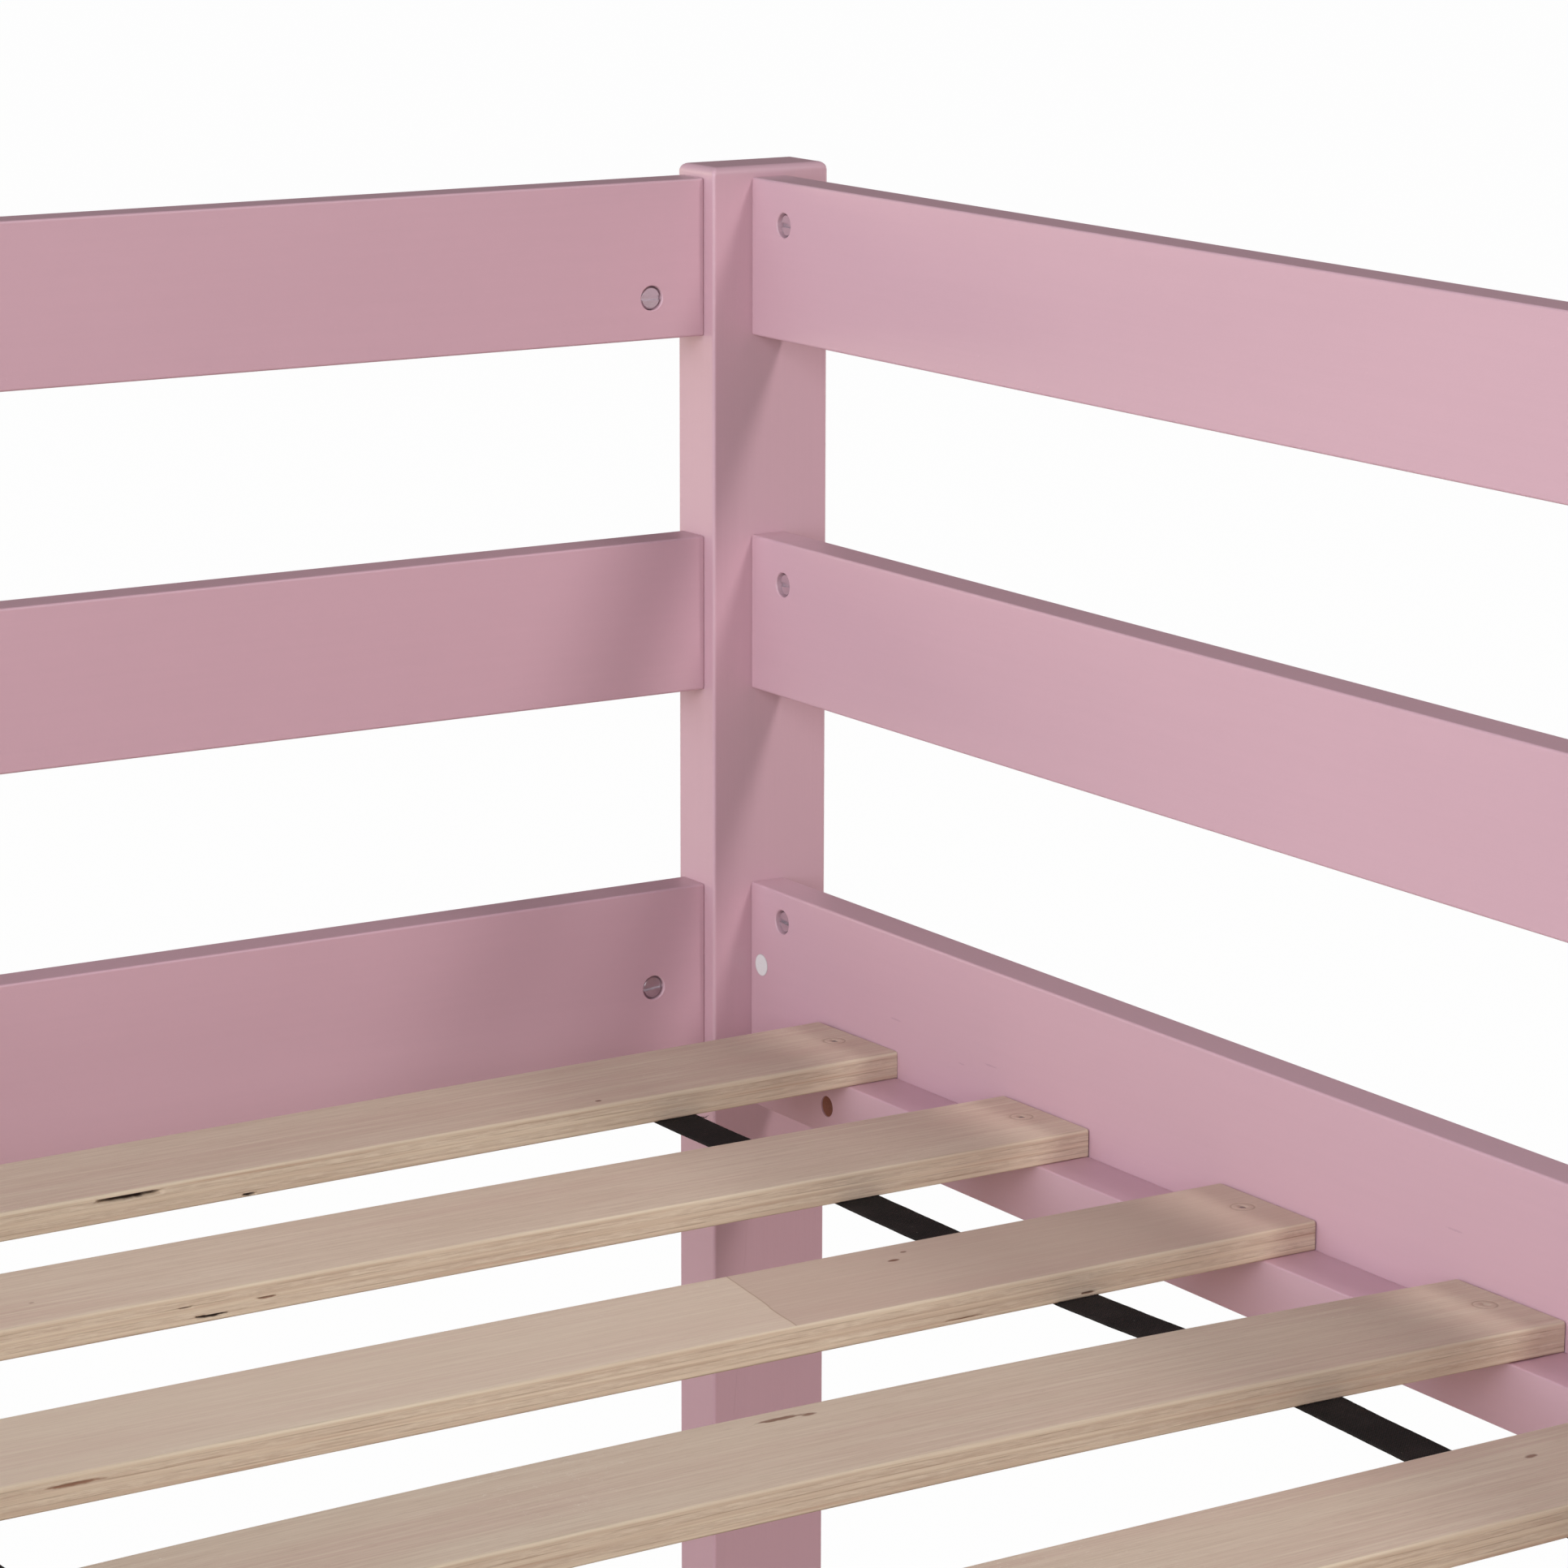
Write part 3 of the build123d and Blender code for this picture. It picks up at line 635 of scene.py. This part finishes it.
def skin(rings, count):
    """Quads between closed rings of count points each, with a cap on both ends."""
    faces = [tuple(range(count))[::-1]]
    for ring in range(rings - 1):
        start = ring * count
        for i in range(count):
            j = (i + 1) % count
            faces.append((start + i, start + j, start + count + j, start + count + i))
    last = (rings - 1) * count
    faces.append(tuple(range(last, last + count)))
    return faces


def spread(start, end, step):
    """Even places from start to end, both included, no further apart than step."""
    count = max(1, math.ceil(abs(end - start) / step - 1e-6))
    return [start + (end - start) * i / count for i in range(count + 1)]


def merge(places, least):
    """Sorted places without near repeats."""
    kept = []
    for place in sorted(places):
        if not kept or place - kept[-1] > least:
            kept.append(place)
    return kept


def bell(distance, width):
    """1 at no distance, falling smoothly to nothing past width."""
    return math.exp(-((distance / width) ** 2))


# ---- slat pieces -----------------------------------------------------------------------------
def cad_nail_inset():
    """From a slat's end to its nail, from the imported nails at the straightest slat."""
    straight = slats[STRAIGHT_SLAT - 1]
    inverse = straight.matrix.inverted()
    local = [inverse @ v.co for v in nodes["slat_nails"].data.vertices]
    local = [p for p in local if abs(p.x) < straight.width / 2 and p.y > 0]
    middle = (min(p.y for p in local) + max(p.y for p in local)) / 2
    return straight.length / 2 - middle


class SlatFrame:
    """Where a CAD slat lies: X across it towards the foot, Y along it to its back end."""

    def __init__(self, node):
        low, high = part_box(node)
        points = [v.co for v in nodes[node].data.vertices]
        back = [p for p in points if p.y > high.y - END_BAND]
        front = [p for p in points if p.y < low.y + END_BAND]
        back = sum(back, Vector()) / len(back)
        front = sum(front, Vector()) / len(front)
        back.z = front.z = low.z
        self.length = (back - front).length
        self.thick = high.z - low.z
        along = (back - front).normalized()
        across = along.cross(Vector((0, 0, 1)))
        tilt = abs(along.x)
        self.width = (high.x - low.x - self.length * tilt) / abs(across.x)
        self.size = (self.width, self.length, self.thick)
        self.bows = BOWS[int(node.rsplit("_", 1)[1]) - 1]
        axes = Matrix((across, along, (0, 0, 1))).transposed().to_4x4()
        self.matrix = Matrix.Translation((back + front) / 2) @ axes

    def rise(self, x, y):
        """How far the slat bows up from the CAD's flat one."""
        head, foot = self.bows
        share = 0.5 + x / self.width
        return (head + (foot - head) * share) * MM * (1 - (2 * y / self.length) ** 2)


def slat_section(width, thick):
    """Points round a slat's section, each with its outward normal, from the top's head side."""
    half = width / 2
    section = []
    columns = spread(-half + SLAT_TOP_RADIUS, -NAIL_ZONE, FACE_STEP)
    columns += spread(-NAIL_ZONE, NAIL_ZONE, FINE_STEP)[1:]
    columns += spread(NAIL_ZONE, half - SLAT_TOP_RADIUS, FACE_STEP)[1:]
    for x in columns:
        section.append((x, thick, 0, 1))
    section += corner(half, thick, SLAT_TOP_RADIUS, 1, 1, 6)[1:]
    for z in spread(thick - SLAT_TOP_RADIUS, SLAT_BOTTOM_RADIUS, EDGE_STEP)[1:-1]:
        section.append((half, z, 1, 0))
    section += corner(half, 0, SLAT_BOTTOM_RADIUS, 1, -1, 3)
    for x in spread(half - SLAT_BOTTOM_RADIUS, -half + SLAT_BOTTOM_RADIUS, UNDER_STEP)[1:-1]:
        section.append((x, 0, 0, -1))
    section += corner(half, 0, SLAT_BOTTOM_RADIUS, -1, -1, 3)
    for z in spread(SLAT_BOTTOM_RADIUS, thick - SLAT_TOP_RADIUS, FAR_EDGE_STEP)[1:-1]:
        section.append((-half, z, -1, 0))
    section += corner(half, thick, SLAT_TOP_RADIUS, -1, 1, 6)[:-1]
    return section


def corner(half, edge_z, radius, side, up, steps):
    """A rounded corner of a section, walked clockwise."""
    turn = []
    for i in range(steps + 1):
        angle = math.pi / 2 * i / steps
        if side * up < 0:
            angle = math.pi / 2 - angle
        nx, nz = side * math.sin(angle), up * math.cos(angle)
        x = side * (half - radius) + radius * nx
        z = edge_z - up * radius + radius * nz
        turn.append((x, z, nx, nz))
    return turn


def slat_stations(number, length):
    """Places along a slat for its rings, closer together round nails and gaps."""
    half = length / 2
    places = spread(-half, half, STATION_STEP)
    for end in (-1, 1):
        nail = end * (half - nail_inset)
        places += spread(nail - NAIL_ZONE, nail + NAIL_ZONE, FINE_STEP)
    for slat, from_back, _, half_length, _, _ in VOIDS:
        if slat == number:
            middle = half - from_back * MM
            reach = half_length * MM + 2 * MM
            places += spread(middle - reach, middle + reach, VOID_STEP)
    return merge(places, LEAST_STEP)


def edge_wear(number, x, y, z, nx, thick):
    """How far in the saw took an edge: rough plies, grooves at the glue and a slow drift."""
    seed = number * SLAT_SEED
    ply = z / (thick / PLIES)
    open_ply = 1.0 if int(ply) % 2 else 0.35
    near_glue = abs(ply - round(ply))
    wear = PLY_ROUGHNESS * open_ply * (0.5 + noise.noise(Vector((x * 90, y * 420, z * 900 + seed))))
    wear += GLUE_GROOVE * bell(near_glue, 0.12) * (0.6 + noise.noise(Vector((seed, y * 60, ply))))
    wear += SAW_DRIFT * (0.5 + 0.5 * noise.noise(Vector((seed, y * 16, nx * 3))))
    return wear


def gap_depth(number, y, z, length, thick):
    """How deep the gaps in a slat's plies are at a place on its foot-side edge."""
    depth = 0.0
    for slat, from_back, below, half_length, half_height, deep in VOIDS:
        if slat != number:
            continue
        reach_y = (y - length / 2 + from_back * MM) / (half_length * MM)
        wander = 0.35 * noise.noise(Vector((y * 260, number * SLAT_SEED, 1)))
        reach_z = (z - thick + below * MM) / (half_height * MM) + wander
        inside = 1 - max(abs(reach_y), abs(reach_z) ** 2)
        if inside > 0:
            depth += deep * MM * min(1.0, inside * 3.0)
    return depth


def top_wear(number, x, y, length):
    """How far down the sander and the nail gun took the top."""
    wear = SANDING_DRIFT * (0.5 + 0.5 * noise.noise(Vector((x * 40, y * 7, number * SLAT_SEED))))
    reach = math.hypot(x, abs(y) - (length / 2 - nail_inset))
    if reach < NAIL_REACH:
        wear += NAIL_DENT
    elif reach < RING_RADIUS:
        wear += NAIL_SINK * (1 - (reach / RING_RADIUS) ** 2)
    return wear + RING_DENT * bell(reach - RING_RADIUS, RING_WIDTH)


def slat_point(number, x, y, z, nx, nz, size):
    """A section point, moved in along its normal by the wear."""
    _, length, thick = size
    depth = 0.0
    if abs(nx) > 0.3:
        depth += edge_wear(number, x, y, z, nx, thick)
    if nx > 0.3:
        depth += gap_depth(number, y, z, length, thick)
    if nz > 0.9:
        depth += top_wear(number, x, y, length)
    return x - nx * depth, y, z - nz * depth


def make_slat(number, slat, material):
    """A plywood slat in place of the CAD's flat one, with its grain's coordinates."""
    section = slat_section(slat.width, slat.thick)
    stations = slat_stations(number, slat.length)
    points = []
    grain = []
    for y in stations:
        at_end = abs(abs(y) - slat.length / 2) < 0.1 * MM
        for x, z, nx, nz in section:
            place = Vector((x, y, z) if at_end else slat_point(number, x, y, z, nx, nz, slat.size))
            place.z += slat.rise(x, y)
            points.append(slat.matrix @ place)
            grain += (x, y + tag(number), z)
    faces = skin(len(stations), len(section))
    piece = make_piece(f"plywood_slat_{number}", points, faces, material, f"slat_{number}")
    piece.data.set_sharp_from_angle(angle=SHARP_ANGLE)
    layer = piece.data.attributes.new("grain", "FLOAT_VECTOR", "POINT")
    layer.data.foreach_set("vector", grain)
    return piece


slat_count = len([n for n in nodes if n.startswith("slat_") and n[5:].isdigit()])
slats = [SlatFrame(f"slat_{number}") for number in range(1, slat_count + 1)]
nail_inset = cad_nail_inset()
slat_material = plywood("poplar_plywood", slats[0].size)
for slat_number, slat_frame in enumerate(slats, start=1):
    make_slat(slat_number, slat_frame, slat_material)


# ---- webbing pieces --------------------------------------------------------------------------
def underside(x, y):
    """How far the deck's underside is above the CAD's, and how free a tape is to sag there.

    Between two slats the rise goes straight from one edge to the next.
    """
    edges = []
    for slat in slats:
        along = slat.matrix.col[1].xyz
        middle = slat.matrix.translation
        crossing = middle.x + along.x * (y - middle.y) / along.y
        for side in (-0.5, 0.5):
            edge = crossing + side * slat.width
            edges.append((edge, slat.rise(side * slat.width, y - middle.y)))
    if x <= edges[0][0]:
        return edges[0][1], 0.0
    for number, ((start, low), (end, high)) in enumerate(zip(edges, edges[1:])):
        if start <= x <= end:
            share = (x - start) / (end - start)
            free = number % 2
            return low + (high - low) * share, free * math.sin(math.pi * share)
    return edges[-1][1], 0.0


def make_webbing(node, material, name, seed, threads=()):
    """A ribbed tape that follows the slats' undersides, a little loose between them."""
    low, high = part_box(node)
    middle = (low.y + high.y) / 2
    half = (high.y - low.y) / 2
    thick = high.z - low.z
    across = spread(-half, half, WEBBING_FINE_STEP)
    stations = spread(low.x, high.x, WEBBING_STEP)
    points = []
    for x in stations:
        rise, free = underside(x, middle)
        for side in (1, -1):
            for y in across[::side]:
                lean = 1 if y > 0 else -1
                sway = noise.noise(Vector((x * 55, 3 * lean, seed)))
                fray = noise.noise(Vector((x * 700, 5 * lean, seed)))
                rim = (abs(y) / half) ** 6
                out = (EDGE_SWAY * sway + EDGE_FRAY * fray) * rim
                puff = thick / 2 * (1 - 0.35 * rim)
                ribs = RIB_HEIGHT * math.sin(2 * math.pi * x / RIB_PITCH) * (1 - rim)
                drape = WEBBING_SAG * free + WEBBING_CURL * free * (y / half) ** 2
                drape += WEBBING_SLACK * free * noise.noise(Vector((x * 22, y * 60, seed)))
                z = low.z + thick / 2 + side * puff + side * ribs + rise - abs(drape)
                points.append(Vector((x, middle + y + out, z)))
    faces = skin(len(stations), 2 * len(across))
    for (from_head, inset, below), steps in threads:
        root = Vector((low.x + from_head * MM, high.y - inset * MM, high.z - below * MM))
        add_thread(points, faces, root, steps)
    return make_piece(name, points, faces, material, node)


def add_thread(points, faces, root, steps):
    """A thin closed tube that leaves the tape's edge and tapers to its tip."""
    places = [root]
    for step in steps:
        places.append(places[-1] + Vector(step) * MM)
    rings = []
    for i, place in enumerate(places):
        before, after = places[max(i - 1, 0)], places[min(i + 1, len(places) - 1)]
        turn = (after - before).to_track_quat("Z", "Y")
        radius = THREAD_RADIUS * (1 - 0.5 * i / len(places))
        for side in range(THREAD_SIDES):
            angle = 2 * math.pi * side / THREAD_SIDES
            offset = turn @ Vector((math.cos(angle), math.sin(angle), 0)) * radius
            rings.append(place + offset)
    start = len(points)
    points += rings
    faces += [tuple(start + i for i in face) for face in skin(len(places), THREAD_SIDES)]


def make_staples(material):
    """The CAD's staples, lifted with the tape where the slats bow."""
    source = nodes["webbing_staples"].data
    points = []
    for vertex in source.vertices:
        rise, _ = underside(vertex.co.x, vertex.co.y)
        points.append(vertex.co + Vector((0, 0, rise)))
    faces = [tuple(face.vertices) for face in source.polygons]
    piece = make_piece("tape_staples", points, faces, material, "webbing_staples")
    piece.data.shade_flat()
    return piece


webbing_material = webbing_cloth("black_webbing")
make_webbing("webbing_back", webbing_material, "webbing_tape_back", 0.7, THREADS)
make_webbing("webbing_front", webbing_material, "webbing_tape_front", 4.1)

# ---- finishes of the CAD nodes ---------------------------------------------------------------
paint_x = paint("pink_paint_along_bed", 0)
paint_y = paint("pink_paint_across_bed", 1)
paint_z = paint("pink_paint_upright", 2)
bright_zinc = zinc("bright_zinc", 0.16, (0.78, 0.79, 0.82))
make_staples(bright_zinc)
nail_steel = zinc("nail_steel", 0.34, (0.30, 0.27, 0.25))
finishes = {
    "back_rail_bottom": paint("pink_paint_rubbed", 0, rail_rubs("back_rail_bottom")),
    "ledger_back": ledger_paint("ledger_back_paint", "ledger_back"),
    "ledger_front": ledger_paint("ledger_front_paint", "ledger_front"),
    "ledger_screws": bright_zinc,
    "slat_nails": nail_steel,
    "side_rail_dowels": beech("beech"),
    "foot_glides": glide_plastic("white_glide"),
    "part_label": label_vinyl("blank_label"),
}
finishes["end_rail_dowels"] = finishes["side_rail_dowels"]


def finish_of(name):
    if name in finishes:
        return finishes[name]
    if name.startswith("post_"):
        return paint_z
    if name.startswith(("head_", "foot_")):
        return paint_y
    if "bolts" in name or "nuts" in name:
        return bright_zinc
    return paint_x


for node_name, node in nodes.items():
    if node.hide_render:
        continue
    node.data.materials.clear()
    node.data.materials.append(finish_of(node_name))


# ---- floor, light and camera -----------------------------------------------------------------
def make_floor():
    reach = 30.0
    mesh = bpy.data.meshes.new("studio_floor")
    corners = [(-reach, -reach, 0), (reach, -reach, 0), (reach, reach, 0), (-reach, reach, 0)]
    mesh.from_pydata(corners, [], [(0, 1, 2, 3)])
    mesh.materials.append(pale_floor("pale_floor"))
    floor = bpy.data.objects.new("studio_floor", mesh)
    bpy.context.scene.collection.objects.link(floor)


def make_softbox(name, direction, distance, width, height, power, colour):
    lamp = bpy.data.lights.new(name, "AREA")
    lamp.shape = "RECTANGLE"
    lamp.size = width
    lamp.size_y = height
    lamp.energy = power
    lamp.color = colour
    box = bpy.data.objects.new(name, lamp)
    direction = Vector(direction).normalized()
    box.location = LIGHT_AIM + direction * distance
    box.rotation_euler = direction.to_track_quat("Z", "Y").to_euler()
    box.visible_camera = False
    bpy.context.scene.collection.objects.link(box)


def make_world():
    world = bpy.data.worlds.new("studio")
    world.use_nodes = True
    tree = world.node_tree
    background = tree.nodes["Background"]
    rays = tree.nodes.new("ShaderNodeLightPath")
    shown = tree.nodes.new("ShaderNodeMix")
    shown.data_type = "RGBA"
    shown.inputs[6].default_value = AMBIENT
    shown.inputs[7].default_value = rgb(1, 1, 1)
    tree.links.new(rays.outputs["Is Camera Ray"], shown.inputs[0])
    tree.links.new(shown.outputs[2], background.inputs["Color"])
    bpy.context.scene.world = world


def make_camera():
    turn, dip = CAMERA_TURN, CAMERA_DIP
    forward = Vector((-math.cos(turn) * math.cos(dip), math.sin(turn) * math.cos(dip), -math.sin(dip)))
    level = Vector((math.sin(turn), math.cos(turn), 0))
    upward = level.cross(forward)
    right = level * math.cos(CAMERA_ROLL) + upward * math.sin(CAMERA_ROLL)
    up = upward * math.cos(CAMERA_ROLL) - level * math.sin(CAMERA_ROLL)
    data = bpy.data.cameras.new("camera")
    data.lens = CAMERA_LENS
    data.sensor_width = SENSOR
    camera = bpy.data.objects.new("camera", data)
    turned = Matrix((right, up, -forward)).transposed().to_4x4()
    camera.matrix_world = Matrix.Translation(CAMERA_PLACE) @ turned
    bpy.context.scene.collection.objects.link(camera)
    bpy.context.scene.camera = camera


make_floor()
make_world()
for softbox_name, settings in SOFTBOXES.items():
    make_softbox(softbox_name, *settings)
make_camera()
bpy.context.scene.view_settings.view_transform = "Standard"
